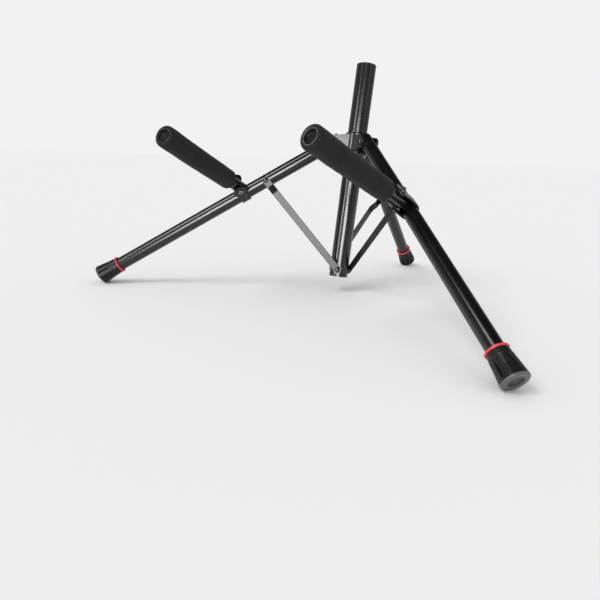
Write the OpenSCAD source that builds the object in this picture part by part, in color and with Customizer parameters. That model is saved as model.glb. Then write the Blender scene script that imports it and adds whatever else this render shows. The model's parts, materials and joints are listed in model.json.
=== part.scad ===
// Folding tripod stand that carries an amplifier on two padded arms.
// Millimetres, +Z up, +Y to the back. The origin is on the floor, straight below the place where the
// axes of the three legs meet on the post. The post and its legs lean to the back together.
// The post's frame has z along its axis, from its bottom end. Each leg's frame is the post's frame
// turned about that axis: x points out from the post, y across the leg.

/* [Post] */
// Lean of the post to the back, in degrees
post_lean = 9.3; // [8:0.1:11]
// Outer diameter of the post tube
post_d = 32; // [28:0.5:38]
// Wall of the post tube
post_wall = 2; // [1.2:0.1:3]
// Distance from the post's bottom end up to the place where the axes of the legs meet
post_drop = 251; // [247:1:256]
// Length of post tube above the hub when the hub is at the top of its travel
post_spare = 4.5; // [3:0.5:60]

/* [Legs] */
// Outer diameter of a leg tube
leg_d = 22; // [19:0.5:25]
// Wall of a leg tube
leg_wall = 1.5; // [1:0.1:2.5]
// Slope of an open leg below the plane across the post, in degrees
leg_slope = 35.9; // [34:0.1:38]
// Angle of each front leg from straight ahead, in degrees
front_angle = 57; // [52:1:61]
// Length of a front leg from the post's axis to the end of its foot
leg_reach = 515; // [490:1:560]
// Length of leg tube above its hub pin
leg_stub = 11; // [9:0.5:12]
// Slope of a leg below the plane across the post when the stand is folded, in degrees
fold_slope = 83; // [80:0.5:84]

/* [Feet] */
// Length of a rubber foot
foot_len = 38; // [32:1:50]
// Diameter of a foot at its top end
foot_top_d = 26; // [25:0.5:30]
// Diameter of a foot at its lower end
foot_end_d = 33; // [31:0.5:38]
// Number of flutes round a foot
flute_count = 10; // [6:1:12]
// Depth of rubber below the tube's end
foot_sole = 9; // [5:0.5:15]
// Thickness of the coloured band above a foot
band_d = 3.2; // [2:0.2:5]

/* [Hub] */
// Distance of the hub pins from the post's axis
pivot_r = 38; // [36:0.5:44]
// Wall of the hub collar round the post
hub_wall = 4.4; // [3.5:0.1:6]
// Height of the hub collar above the hub pins
hub_up = 18; // [14:1:24]
// Depth of the hub collar below the hub pins
hub_down = 18; // [14:1:24]
// Thickness of a hub ear
hub_ear_t = 4; // [3:0.5:6]
// Outer radius of a hub ear round its pin
hub_ear_r = 10; // [8:0.5:12]
// Diameter of the clamp screw
clamp_d = 8; // [6:1:10]
// Diameter of the clamp knob
knob_d = 36; // [30:1:44]
// Thickness of the clamp knob
knob_t = 14; // [10:1:18]

/* [Braces] */
// Width of a brace
brace_w = 12; // [10:0.5:16]
// Thickness of a brace
brace_t = 2.5; // [2:0.1:3.5]
// Distance along the leg from the post's axis to the upper brace rivet
brace_reach = 177.5; // [170:0.5:182]
// Distance of the lower brace rivet out from the post's axis
brace_foot_x = 4; // [3:0.5:6]
// Height of the lower brace rivet above the post's bottom end
brace_foot_up = 12.5; // [11.5:0.5:18]
// Gap that a brace keeps from the pad it turns on
brace_gap = 0.1; // [0.1:0.05:0.4]
// Length of the brace's end tab beside the leg, from the rivet to the first bend
tab_len = 13; // [10:0.5:18]
// Length of the sloping step in a brace
step_len = 14; // [10:0.5:22]

/* [Arms] */
// Outer diameter of an arm tube
arm_d = 20; // [16:0.5:22]
// Wall of an arm tube
arm_wall = 1.5; // [1:0.1:2.5]
// Length of an arm from its pin to its front end
arm_len = 189.5; // [178:0.5:196]
// Bare length of an arm from its pin to its foam sleeve
foam_start = 26.5; // [24.5:0.5:40]
// Distance along the leg from the post's axis to the arm bracket
bracket_reach = 222.5; // [218:0.5:245]
// Distance of the arm pin from the leg's axis
arm_offset = 30; // [29:0.5:36]
// Turn of the arm bracket round the leg, from straight up to the front, in degrees
bracket_roll = 64.5; // [60:0.5:67]
// Angle between an open arm and the lower part of its leg, in degrees
arm_angle = 78; // [72:0.5:82]
// Outer diameter of a foam sleeve
foam_d = 30; // [26:0.5:34]
// Length of a foam sleeve
foam_len = 163; // [140:1:165]
// Rounding of a foam sleeve's ends
foam_round = 5; // [2:0.5:6]

/* [Bracket] */
// Thickness of the bracket's sheet metal
strap_t = 2.5; // [2:0.1:3.5]
// Width of the bracket where it goes round the leg
strap_w = 16; // [12:0.5:20]
// Radius of a bracket ear round the arm pin
ear_r = 12; // [9:0.5:13]
// Gap between a bracket and the leg tube
strap_gap = 0.2; // [0.1:0.05:0.4]

/* [Rivets] */
// Diameter of the rivets and pins that turn
pin_d = 6; // [5:0.5:7]
// Radial clearance of a pin in its hole
pin_gap = 0.05; // [0.02:0.01:0.1]
// Diameter of a rivet head
head_d = 9; // [8:0.5:11]
// Height of a rivet head
head_h = 2; // [1.5:0.1:3]

/* [Hidden] */
$fn = 96;
tiny = 0.01;
// Clearances between pieces that don't turn on each other
fit_gap = 0.1;
stop_gap = 0.3;
slide_gap = 0.06;

// Legs: sides and the turn of each leg's frame about the post
LEFT = -1;
RIGHT = 1;
REAR = 0;
function leg_turn(side) = side == REAR ? 90 : -90 + side * front_angle;

post_r = post_d / 2;
leg_r = leg_d / 2;
arm_r = arm_d / 2;
foam_r = foam_d / 2;
pin_r = pin_d / 2;
hole_r = pin_r + pin_gap;

// Foot: it is pressed flat by floor_press where it stands, and each flute deepens from flute_lip
foot_round = 2;
floor_press = 0.6;
foot_top_r = foot_top_d / 2;
foot_end_r = foot_end_d / 2;
foot_recess_r = 8.75;
foot_recess_depth = 2;
flute_r = 7.5;
flute_lip = 0.1;
flute_depth = 1.15;
flute_start = foot_len * 0.25;
flute_end = foot_len - 8;

// Sine of a leg's slope below level, which the lean makes less in front and more at the back
function leg_dip(side) =
    sin(leg_slope) * cos(post_lean) + cos(leg_slope) * sin(post_lean) * sin(leg_turn(side));

// Height that the rounded end of a foot adds below the leg's axis
function foot_drop(side) =
    (foot_end_r - foot_round) * sqrt(1 - pow(leg_dip(side), 2)) + foot_round - floor_press;

// The front legs set the height where the axes meet, and the rear leg is cut to reach the floor
apex_z = (leg_reach - foot_round) * leg_dip(LEFT) + foot_drop(LEFT);
rear_reach = (apex_z - foot_drop(REAR)) / leg_dip(REAR) + foot_round;

// Hub pins, and lengths measured down a leg from its hub pin
pivot_s = pivot_r / cos(leg_slope);
pivot_z = post_drop - pivot_r * tan(leg_slope);
function leg_len(side) = (side == REAR ? rear_reach : leg_reach) - pivot_s;
hub_r = post_r + slide_gap + hub_wall;
hub_fork = leg_d + 0.6;

// Brace: both rivets in the leg's frame when the stand is open
brace_top_x = brace_reach * cos(leg_slope);
brace_top_z = post_drop - brace_reach * sin(leg_slope);
brace_len = norm([brace_top_x - brace_foot_x, brace_top_z - brace_foot_up]);
brace_rise = atan2(brace_top_z - brace_foot_up, brace_top_x - brace_foot_x);
brace_top_y = leg_r + fit_gap;
pad_r = brace_w / 2 + 1;
pad_y = post_r + fit_gap;
brace_low_y = pad_y + brace_gap;
rivet_root_y = post_r - post_wall - 2;

// Travel of the hub up the post when the legs fold, which the post's length follows
brace_arm = brace_reach - pivot_s;
fold_x = pivot_r + brace_arm * cos(fold_slope) - brace_foot_x;
fold_z = brace_foot_up + brace_arm * sin(fold_slope) + sqrt(brace_len * brace_len - fold_x * fold_x);
hub_travel = fold_z - pivot_z;
post_len = pivot_z + hub_travel + hub_up + post_spare;

// Arm and its bracket
bracket_s = bracket_reach - pivot_s;
strap_r = leg_r + strap_gap;
bracket_rivet_r = 2;
ear_gap = strap_r;
ear_out = ear_gap + strap_t;
arm_tail = (arm_offset - leg_r - stop_gap - arm_r * cos(arm_angle)) / sin(arm_angle);
tail_round = arm_offset - leg_r - stop_gap;
washer_r = 7;
cap_flange = 2;
cap_depth = 14;
cap_recess = 2;

// Clamp
clamp_turn = 152;
boss_r = clamp_d / 2 + 4;
boss_out = hub_r + 6;
knob_start = boss_out + 1.5;
knob_lobes = 6;

// The post's frame, set on the floor with its lean
module standing()
    translate([0, 0, apex_z]) rotate([-post_lean, 0, 0]) translate([0, 0, -post_drop]) children();

// A leg's frame inside the post's frame, and the same set on the floor
module round_post(side) rotate([0, 0, leg_turn(side)]) children();
module at_leg(side) standing() round_post(side) children();

// Leg's axis: z runs down the leg from the hub pin, x points to its underside
module along_leg(side)
    at_leg(side) translate([pivot_r, 0, pivot_z]) rotate([0, 90 + leg_slope, 0]) children();

// Bracket: x points from the leg's axis to the arm pin, z down the leg
module at_bracket(side)
    along_leg(side) translate([0, 0, bracket_s]) rotate([0, 0, 180 + side * bracket_roll]) children();

// Arm: z runs along the arm from its pin to its front end, y along the pin
module along_arm(side)
    at_bracket(side) translate([arm_offset, 0, 0]) rotate([0, arm_angle, 0]) children();

module across(length, radius) rotate([90, 0, 0]) cylinder(h = length, r = radius, center = true);

// Round rod along y from y0 to y1
module rod_y(radius, y0, y1)
    translate([0, y0, 0]) rotate([-90, 0, 0]) cylinder(h = y1 - y0, r = radius);

// Domed rivet head that sits on the plane y = 0 and rises to +y
module rivet_head() {
    dome_r = (head_d * head_d / 4 + head_h * head_h) / (2 * head_h);
    rotate([-90, 0, 0]) intersection() {
        translate([0, 0, head_h - dome_r]) sphere(r = dome_r);
        cylinder(h = head_h, r = head_d / 2);
    }
}

// Tube with its length along z
module tube(outer_r, wall, length) {
    difference() {
        cylinder(h = length, r = outer_r);
        translate([0, 0, -tiny]) cylinder(h = length + 2 * tiny, r = outer_r - wall);
    }
}

// ---- Post ----

// Round pad on the post, in a leg's frame, with a flat face that the brace turns on
module brace_pad()
    translate([brace_foot_x, 0, brace_foot_up]) rod_y(pad_r, pad_y - pad_r, pad_y);

module post_tube() color("#17181a") {
    standing() difference() {
        union() {
            cylinder(h = post_len, r = post_r);
            for (side = [LEFT, RIGHT, REAR]) round_post(side) brace_pad();
        }
        translate([0, 0, -tiny]) cylinder(h = post_len + 2 * tiny, r = post_r - post_wall);
        for (side = [LEFT, RIGHT, REAR]) round_post(side)
            translate([brace_foot_x, 0, brace_foot_up]) rod_y(hole_r, rivet_root_y, pad_y + 1);
    }
}

// Plug with a crowned flange, for the post's top end
module post_top_cap() color("#202124") {
    crown_h = 3;
    plug_h = 14;
    crown_r = (post_r * post_r + crown_h * crown_h) / (2 * crown_h);
    standing() translate([0, 0, post_len]) {
        intersection() {
            translate([0, 0, crown_h - crown_r]) sphere(r = crown_r);
            cylinder(h = crown_h, r = post_r);
        }
        translate([0, 0, -plug_h]) cylinder(h = plug_h, r = post_r - post_wall - fit_gap / 2);
    }
}

// Plug let into the post's bottom end, with a shallow dish below
module post_end_plug() color("#1b1c1e") {
    plug_h = 7;
    dish_depth = 1.5;
    plug_r = post_r - post_wall - fit_gap / 2;
    dish_r = (plug_r * plug_r + dish_depth * dish_depth) / (2 * dish_depth);
    standing() difference() {
        cylinder(h = plug_h, r = plug_r);
        translate([0, 0, dish_depth - dish_r]) sphere(r = dish_r);
    }
}

// ---- Hub ----

// Outline of a hub ear, x out from the post and y up from the pin
module ear_outline() {
    // The ear starts inside the collar's wall; the bore cuts it flush
    root_x = post_r - hub_wall;
    dx = pivot_r - root_x;
    // Direction of the tangent from the collar to the round end, above and below
    function tangent(h) = let (a = atan2(h, dx), b = acos(hub_ear_r / norm([dx, h]))) a + b;
    top = 180 - tangent(hub_up - 3);
    low = 180 + tangent(hub_down - 3);
    difference() {
        union() {
            translate([pivot_r, 0]) circle(r = hub_ear_r);
            polygon([
                [root_x, -hub_down + 3], [root_x, hub_up - 3],
                [pivot_r + hub_ear_r * cos(top), hub_ear_r * sin(top)], [pivot_r, 0],
                [pivot_r + hub_ear_r * cos(low), hub_ear_r * sin(low)]
            ]);
        }
        translate([pivot_r, 0]) circle(r = hole_r);
    }
}

module hub_ears() {
    for (y = [-hub_fork / 2 - hub_ear_t, hub_fork / 2])
        translate([0, y + hub_ear_t, pivot_z]) rotate([90, 0, 0]) linear_extrude(hub_ear_t) ear_outline();
}

module hub_collar() color("#1d1e20") {
    rim = 2;
    standing() difference() {
        union() {
            translate([0, 0, pivot_z - hub_down]) rotate_extrude() polygon([
                [0, 0], [hub_r - rim, 0], [hub_r, rim],
                [hub_r, hub_down + hub_up - rim], [hub_r - rim, hub_down + hub_up], [0, hub_down + hub_up]
            ]);
            for (side = [LEFT, RIGHT, REAR]) round_post(side) hub_ears();
            to_clamp() cylinder(h = boss_out, r = boss_r);
        }
        translate([0, 0, pivot_z - hub_down - 1])
            cylinder(h = hub_down + hub_up + 2, r = post_r + slide_gap);
        to_clamp() cylinder(h = boss_out + 1, r = clamp_d / 2 + pin_gap);
    }
}

// Clamp: z runs out from the post's axis along the clamp screw, and the same set on the floor
module to_clamp() rotate([0, 0, clamp_turn]) translate([0, 0, pivot_z]) rotate([0, 90, 0]) children();
module along_clamp() standing() to_clamp() children();

// Lobed knob head with a domed front
module clamp_knob() color("#232427") {
    lobe_r = knob_d * 0.17;
    lobe_ring = knob_d / 2 - lobe_r;
    neck_h = 4;
    along_clamp() translate([0, 0, knob_start]) difference() {
        union() {
            cylinder(h = neck_h, r = boss_r);
            translate([0, 0, neck_h - tiny]) difference() {
                cylinder(h = knob_t - neck_h, r = knob_d / 2 - lobe_r / 2);
                for (i = [0:knob_lobes - 1]) rotate([0, 0, (i + 0.5) * 360 / knob_lobes])
                    translate([knob_d / 2 + lobe_r * 0.2, 0, -1]) cylinder(h = knob_t, r = lobe_r);
            }
            for (i = [0:knob_lobes - 1]) rotate([0, 0, i * 360 / knob_lobes])
                translate([lobe_ring, 0, neck_h]) cylinder(h = knob_t - neck_h - 1, r = lobe_r);
        }
        translate([0, 0, -1]) cylinder(h = knob_t - 2, r = clamp_d / 2);
    }
}

module clamp_screw() color("#b9bcc0") {
    tip = post_r + stop_gap;
    chamfer = 1;
    length = knob_start + knob_t - 3 - tip - fit_gap;
    along_clamp() translate([0, 0, tip]) rotate_extrude() polygon([
        [0, 0], [clamp_d / 2 - chamfer - fit_gap / 2, 0], [clamp_d / 2 - fit_gap / 2, chamfer],
        [clamp_d / 2 - fit_gap / 2, length], [0, length]
    ]);
}

module hub_pin(side) color("#c4c6c9") {
    half = hub_fork / 2 + hub_ear_t;
    at_leg(side) translate([pivot_r, 0, pivot_z]) {
        across(2 * half + tiny, pin_r);
        translate([0, half, 0]) rivet_head();
        mirror([0, 1, 0]) translate([0, half, 0]) rivet_head();
    }
}

// ---- Legs ----

module leg_tube(side) color("#17181a") {
    along_leg(side) difference() {
        translate([0, 0, -leg_stub]) tube(leg_r, leg_wall, leg_len(side) - foot_sole + leg_stub);
        across(leg_d + 2, hole_r);
        translate([0, 0, brace_arm]) rod_y(hole_r, 0, leg_r + 1);
        if (side != REAR) translate([0, 0, bracket_s]) rotate([0, 0, 180 + side * bracket_roll])
            translate([-leg_r - 1, 0, 0]) rotate([0, 90, 0]) cylinder(h = leg_r, r = bracket_rivet_r + pin_gap);
    }
}

// Thin plug in the top end of a leg tube
module leg_plug(side) color("#202124") {
    flange_h = 1.5;
    plug_h = leg_stub - hole_r - 1;
    along_leg(side) translate([0, 0, -leg_stub]) rotate_extrude() polygon([
        [0, -flange_h], [leg_r - 2, -flange_h], [leg_r - 0.5, 0], [leg_r - leg_wall - fit_gap / 2, 0],
        [leg_r - leg_wall - fit_gap / 2, plug_h], [0, plug_h]
    ]);
}

// Radius of a foot at a distance from its top end
function foot_r_at(z) = foot_top_r + (foot_end_r - foot_top_r) * z / (foot_len - foot_round);

// Half section of a foot: a tapered cup with a rounded lower rim and a round recess in its end
module foot_section() {
    bore_r = leg_r + fit_gap;
    edge = 0.6;
    difference() {
        union() {
            polygon([
                [0, 0], [foot_top_r - edge, 0], [foot_r_at(edge), edge],
                [foot_end_r, foot_len - foot_round], [foot_end_r - foot_round, foot_len], [0, foot_len]
            ]);
            translate([foot_end_r - foot_round, foot_len - foot_round]) circle(r = foot_round);
        }
        translate([-foot_end_r, -1]) square([foot_end_r, foot_len + 2]);
        translate([-1, -1]) square([bore_r + 1, foot_len - foot_sole + 1]);
        translate([-1, foot_len - foot_recess_depth]) square([foot_recess_r + 1, foot_recess_depth + 1]);
    }
}

// Cutter for a flute: it dives into the tapered side and ends in a ball
module flute_cutter() {
    top = [foot_r_at(flute_start) + flute_r - flute_lip, flute_start];
    low = [foot_r_at(flute_end) + flute_r - flute_depth, flute_end];
    length = norm(low - top);
    tilt = atan2(low[0] - top[0], low[1] - top[1]);
    translate([low[0], 0, low[1]]) rotate([0, tilt, 0]) {
        translate([0, 0, -length]) cylinder(h = length, r = flute_r);
        sphere(r = flute_r);
    }
}

module foot_body() {
    difference() {
        rotate_extrude() foot_section();
        for (i = [0:flute_count - 1]) rotate([0, 0, (i + 0.5) * 360 / flute_count]) flute_cutter();
    }
}

module foot(side) color("#2b2c2e") {
    difference() {
        along_leg(side) translate([0, 0, leg_len(side) - foot_len]) foot_body();
        translate([-leg_reach, -leg_reach, -foot_len]) cube([2 * leg_reach, 2 * leg_reach, foot_len]);
    }
}

module foot_band(side) color("#e0454f") {
    along_leg(side) translate([0, 0, leg_len(side) - foot_len - band_d / 2 - fit_gap]) rotate_extrude()
        translate([leg_r + fit_gap + band_d / 2, 0]) circle(r = band_d / 2, $fn = 48);
}

// ---- Braces ----

// Flat bar in the leg's frame: a straight run beside the post, a step, and a tab beside the leg
module brace(side) color("#3a3c3f") {
    rise = brace_low_y - brace_top_y;
    step_start = brace_len - tab_len - step_len;
    step_angle = atan2(rise, step_len);
    // Extra length along the bar where its bent sheet keeps its thickness
    bend = brace_t * tan(step_angle / 2);
    at_leg(side) translate([brace_foot_x, 0, brace_foot_up]) rotate([0, -brace_rise, 0]) difference() {
        intersection() {
            translate([0, 0, -brace_w]) linear_extrude(2 * brace_w) polygon([
                [-brace_w, brace_low_y], [step_start, brace_low_y],
                [step_start + step_len, brace_top_y], [brace_len + brace_w, brace_top_y],
                [brace_len + brace_w, brace_top_y + brace_t],
                [step_start + step_len + bend, brace_top_y + brace_t],
                [step_start + bend, brace_low_y + brace_t], [-brace_w, brace_low_y + brace_t]
            ]);
            rotate([-90, 0, 0]) linear_extrude(2 * post_d) {
                circle(r = brace_w / 2);
                translate([brace_len, 0]) circle(r = brace_w / 2);
                translate([0, -brace_w / 2]) square([brace_len, brace_w]);
            }
        }
        rod_y(hole_r, brace_low_y - 1, brace_low_y + brace_t + 1);
        translate([brace_len, 0, 0]) rod_y(hole_r, brace_top_y - 1, brace_top_y + brace_t + 1);
    }
}

// Rivet through the post's wall, its pad and a brace
module brace_rivet_low(side) color("#c4c6c9") {
    head_y = brace_low_y + brace_t + fit_gap;
    at_leg(side) translate([brace_foot_x, 0, brace_foot_up]) {
        rod_y(pin_r, rivet_root_y, head_y + tiny);
        translate([0, head_y, 0]) rivet_head();
    }
}

// Rivet in a brace's tab, which ends at the leg's wall
module brace_rivet_top(side) color("#c4c6c9") {
    head_y = brace_top_y + brace_t;
    at_leg(side) translate([brace_top_x, 0, brace_top_z]) {
        rod_y(pin_r, brace_top_y + fit_gap, head_y + tiny);
        translate([0, head_y, 0]) rivet_head();
    }
}

// ---- Arms ----

// Sheet-metal strap bent round the leg, with an ear on each side of the arm
module arm_bracket(side) color("#4a4c50") {
    at_bracket(side) difference() {
        union() {
            difference() {
                cylinder(h = strap_w, r = strap_r + strap_t, center = true);
                translate([0, -2 * leg_d, -strap_w]) cube([4 * leg_d, 4 * leg_d, 2 * strap_w]);
            }
            for (y = [-ear_out, ear_gap]) translate([0, y + strap_t, 0]) rotate([90, 0, 0])
                linear_extrude(strap_t) ear_plate();
        }
        cylinder(h = strap_w + 2, r = strap_r, center = true);
        translate([arm_offset, 0, 0]) across(2 * ear_out + 2, hole_r);
        translate([-strap_r - strap_t - 1, 0, 0]) rotate([0, 90, 0])
            cylinder(h = leg_r, r = bracket_rivet_r + pin_gap);
    }
}

// Ear outline: a neck that widens by two fillets into the round end about the pin
module ear_plate() {
    neck = strap_w / 2;
    fillet_r = 8;
    // Centre of a fillet that touches the neck's edge and the round end
    fillet_y = neck + fillet_r;
    fillet_x = arm_offset - sqrt(pow(ear_r + fillet_r, 2) - fillet_y * fillet_y);
    difference() {
        union() {
            translate([0, -neck]) square([arm_offset, strap_w]);
            translate([arm_offset, 0]) circle(r = ear_r);
            translate([fillet_x, -ear_r * fillet_y / (ear_r + fillet_r)])
                square([arm_offset - fillet_x, 2 * ear_r * fillet_y / (ear_r + fillet_r)]);
        }
        for (s = [-1, 1]) translate([fillet_x, s * fillet_y]) circle(r = fillet_r);
    }
}

// Small rivet that fixes the strap to the leg from behind
module bracket_rivet(side) color("#c4c6c9") {
    grip = leg_r - leg_wall - 1;
    button_r = bracket_rivet_r + 2;
    at_bracket(side) rotate([0, -90, 0]) {
        translate([0, 0, grip]) cylinder(h = strap_r + strap_t - grip + tiny, r = bracket_rivet_r);
        translate([0, 0, strap_r + strap_t]) intersection() {
            translate([0, 0, 1.6 - button_r]) sphere(r = button_r * 1.05);
            cylinder(h = 2, r = button_r - 0.4);
        }
    }
}

module arm_pin(side) color("#c4c6c9") {
    at_bracket(side) translate([arm_offset, 0, 0]) {
        across(2 * ear_out + tiny, pin_r);
        translate([0, ear_out, 0]) rivet_head();
        mirror([0, 1, 0]) translate([0, ear_out, 0]) rivet_head();
    }
}

// Two washers that centre the arm between the ears
module arm_washers(side) color("#d8d6cf") {
    at_bracket(side) translate([arm_offset, 0, 0])
        for (m = [0, 1]) mirror([0, m, 0]) difference() {
            rod_y(washer_r, arm_r + fit_gap, ear_gap - fit_gap);
            rod_y(hole_r, arm_r, ear_gap);
        }
}

// Arm tube: its square tail rests on the leg, and its other corner is rounded to swing past
module arm_tube(side) color("#17181a") {
    along_arm(side) difference() {
        translate([0, 0, -arm_tail]) tube(arm_r, arm_wall, arm_len - cap_flange - tiny + arm_tail);
        across(arm_d + 2, hole_r);
        difference() {
            translate([0, -arm_d, -2 * arm_tail]) cube([arm_d, 2 * arm_d, 2 * arm_tail]);
            across(2 * arm_d + 2, tail_round);
        }
    }
}

// Foam sleeve with rounded ends
module foam_sleeve(side) color("#1f1f20") {
    bore_r = arm_r + fit_gap;
    lip_r = foam_r - foam_round;
    along_arm(side) translate([0, 0, foam_start]) rotate_extrude() difference() {
        union() {
            translate([0, foam_round]) square([foam_r, foam_len - 2 * foam_round]);
            square([lip_r, foam_len]);
            for (z = [foam_round, foam_len - foam_round]) translate([lip_r, z]) circle(r = foam_round);
        }
        translate([-foam_r, -1]) square([foam_r + bore_r, foam_len + 2]);
    }
}

// End cap: a thin flange on a plug, with a round recess in its face
module arm_cap(side) color("#2a2b2d") {
    plug_r = arm_r - arm_wall - fit_gap / 2;
    rim = 1.8;
    along_arm(side) translate([0, 0, arm_len]) rotate_extrude() polygon([
        [0, -cap_depth], [plug_r, -cap_depth], [plug_r, -cap_flange], [arm_r, -cap_flange],
        [arm_r, -0.5], [arm_r - 0.5, 0], [arm_r - rim, 0], [arm_r - rim, -cap_recess], [0, -cap_recess]
    ]);
}

post_tube();
post_top_cap();
post_end_plug();
hub_collar();
clamp_knob();
clamp_screw();
leg_tube(LEFT);  // leg_tube_left
leg_tube(RIGHT);  // leg_tube_right
leg_tube(REAR);  // leg_tube_rear
leg_plug(LEFT);  // leg_plug_left
leg_plug(RIGHT);  // leg_plug_right
leg_plug(REAR);  // leg_plug_rear
foot(LEFT);  // foot_left
foot(RIGHT);  // foot_right
foot(REAR);  // foot_rear
foot_band(LEFT);  // foot_band_left
foot_band(RIGHT);  // foot_band_right
foot_band(REAR);  // foot_band_rear
hub_pin(LEFT);  // hub_pin_left
hub_pin(RIGHT);  // hub_pin_right
hub_pin(REAR);  // hub_pin_rear
brace(LEFT);  // brace_left
brace(RIGHT);  // brace_right
brace(REAR);  // brace_rear
brace_rivet_low(LEFT);  // brace_rivet_low_left
brace_rivet_low(RIGHT);  // brace_rivet_low_right
brace_rivet_low(REAR);  // brace_rivet_low_rear
brace_rivet_top(LEFT);  // brace_rivet_top_left
brace_rivet_top(RIGHT);  // brace_rivet_top_right
brace_rivet_top(REAR);  // brace_rivet_top_rear
arm_bracket(LEFT);  // arm_bracket_left
arm_bracket(RIGHT);  // arm_bracket_right
bracket_rivet(LEFT);  // bracket_rivet_left
bracket_rivet(RIGHT);  // bracket_rivet_right
arm_pin(LEFT);  // arm_pin_left
arm_pin(RIGHT);  // arm_pin_right
arm_washers(LEFT);  // arm_washers_left
arm_washers(RIGHT);  // arm_washers_right
arm_tube(LEFT);  // arm_tube_left
arm_tube(RIGHT);  // arm_tube_right
foam_sleeve(LEFT);  // foam_sleeve_left
foam_sleeve(RIGHT);  // foam_sleeve_right
arm_cap(LEFT);  // arm_cap_left
arm_cap(RIGHT);  // arm_cap_right
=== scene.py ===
"""Looks of a folding tripod stand with two padded arms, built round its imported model.

Sizes are in metres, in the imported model's own frame, unless a name says otherwise.
"""

from __future__ import annotations

import json
import logging
import math
from dataclasses import dataclass, field
from enum import Enum
from typing import Callable, Union

import bmesh
import bpy
from mathutils import Euler, Matrix, Vector, noise


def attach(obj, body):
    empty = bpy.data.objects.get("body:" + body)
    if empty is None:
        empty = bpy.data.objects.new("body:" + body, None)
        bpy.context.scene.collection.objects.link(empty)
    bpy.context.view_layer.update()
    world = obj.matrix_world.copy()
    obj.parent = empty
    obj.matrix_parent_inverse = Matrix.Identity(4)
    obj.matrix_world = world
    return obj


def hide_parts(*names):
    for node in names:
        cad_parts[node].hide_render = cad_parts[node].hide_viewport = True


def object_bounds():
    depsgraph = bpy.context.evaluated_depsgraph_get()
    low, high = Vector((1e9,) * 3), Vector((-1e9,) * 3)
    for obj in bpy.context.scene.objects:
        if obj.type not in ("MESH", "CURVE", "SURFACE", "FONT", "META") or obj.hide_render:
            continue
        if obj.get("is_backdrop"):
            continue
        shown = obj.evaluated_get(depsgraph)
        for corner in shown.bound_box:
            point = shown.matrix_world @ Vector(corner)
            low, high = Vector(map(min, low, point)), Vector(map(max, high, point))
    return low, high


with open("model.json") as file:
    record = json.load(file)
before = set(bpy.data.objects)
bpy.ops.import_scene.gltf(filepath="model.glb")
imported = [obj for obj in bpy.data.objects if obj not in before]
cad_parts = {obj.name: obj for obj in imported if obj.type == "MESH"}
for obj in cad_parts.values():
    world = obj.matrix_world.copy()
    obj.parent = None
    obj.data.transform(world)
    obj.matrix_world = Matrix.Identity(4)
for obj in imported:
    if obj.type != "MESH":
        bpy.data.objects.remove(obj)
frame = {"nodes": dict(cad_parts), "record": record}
CAD_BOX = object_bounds()

log = logging.getLogger("stand")

Colour = tuple[float, float, float, float]
Point = tuple[float, float, float]
Outline = list[tuple[float, float]]
Socket = bpy.types.NodeSocket
Feed = Union[Socket, float, Colour]

MM = 0.001
# Points closer than these are one: in new pieces, and in copies of CAD nodes.
MERGE = 1e-7
MERGE_CAD = 1e-6
# Edges sharper than this stay crisp.
CREASE_ANGLE = math.radians(38.0)
# Face attribute that the finishes read as how much lighter edge colour a face shows: rubbed edges on eased
# pieces, painted highlight on pin heads and cap rims, both on the feet's ends.
EDGE_MARK = "edge_mark"


class Side(Enum):
    """The three legs, each with the number that sets its own dents."""

    LEFT = 1
    RIGHT = 3
    REAR = 2

    @property
    def tag(self) -> str:
        """The ending of this side's node names."""
        return self.name.lower()


FRONT_SIDES = (Side.LEFT, Side.RIGHT)
ALL_SIDES = (Side.LEFT, Side.RIGHT, Side.REAR)


# ---- Measures ------------------------------------------------------------------------------


def joint(name: str) -> dict:
    """A joint's row in the record.

    Args:
        name: The joint's name.

    Returns:
        The row.
    """
    return next(row for row in frame["record"]["behaviour"]["joints"] if row["name"] == name)


def corners(node: str) -> list[Vector]:
    """The points of a CAD node.

    Args:
        node: The node's name.

    Returns:
        Its vertices, in metres.
    """
    obj = frame["nodes"][node]
    return [obj.matrix_world @ vert.co for vert in obj.data.vertices]


def middle_of(points: list[Vector]) -> Vector:
    """The middle of the box round some points.

    Args:
        points: The points.

    Returns:
        The middle.
    """
    low = Vector(min(point[i] for point in points) for i in range(3))
    high = Vector(max(point[i] for point in points) for i in range(3))
    return (low + high) / 2.0


def reaches(points: list[Vector], start: Vector, along: Vector) -> tuple[list[float], list[float]]:
    """How far points lie along a line and off it.

    Args:
        points: The points.
        start: A point of the line.
        along: The line's direction, of length one.

    Returns:
        Distances from the start along the line, and distances off the line.
    """
    runs = [(point - start).dot(along) for point in points]
    return runs, [(point - start - along * run).length for point, run in zip(points, runs)]


@dataclass(frozen=True)
class ArmPlace:
    """Where an arm lies and how big its foam is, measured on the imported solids, in metres."""

    pin: Vector
    hinge: Vector
    along: Vector
    bore: float
    radius: float
    start: float
    end: float

    @classmethod
    def measure(cls, side: Side) -> ArmPlace:
        """Reads the hinge from the record and the rest from the arm's solids.

        Args:
            side: Which arm.

        Returns:
            The place.
        """
        hinge = joint(f"arm_{side.tag}_hinge")
        pin, axis = Vector(hinge["pos_m"]), Vector(hinge["axis"]).normalized()
        along = (middle_of(corners(f"arm_cap_{side.tag}")) - pin).normalized()
        runs, spread = reaches(corners(f"foam_sleeve_{side.tag}"), pin, along)
        return cls(pin, axis, along, min(spread), max(spread), min(runs), max(runs))

    @property
    def matrix(self) -> Matrix:
        """Frame at the pin.

        Returns:
            The frame, with z along the arm and y near the hinge's axis.
        """
        across = self.hinge.cross(self.along).normalized()
        turn = Matrix((across, self.along.cross(across), self.along)).transposed()
        return Matrix.Translation(self.pin) @ turn.to_4x4()


# ---- Shader groups -------------------------------------------------------------------------


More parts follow.
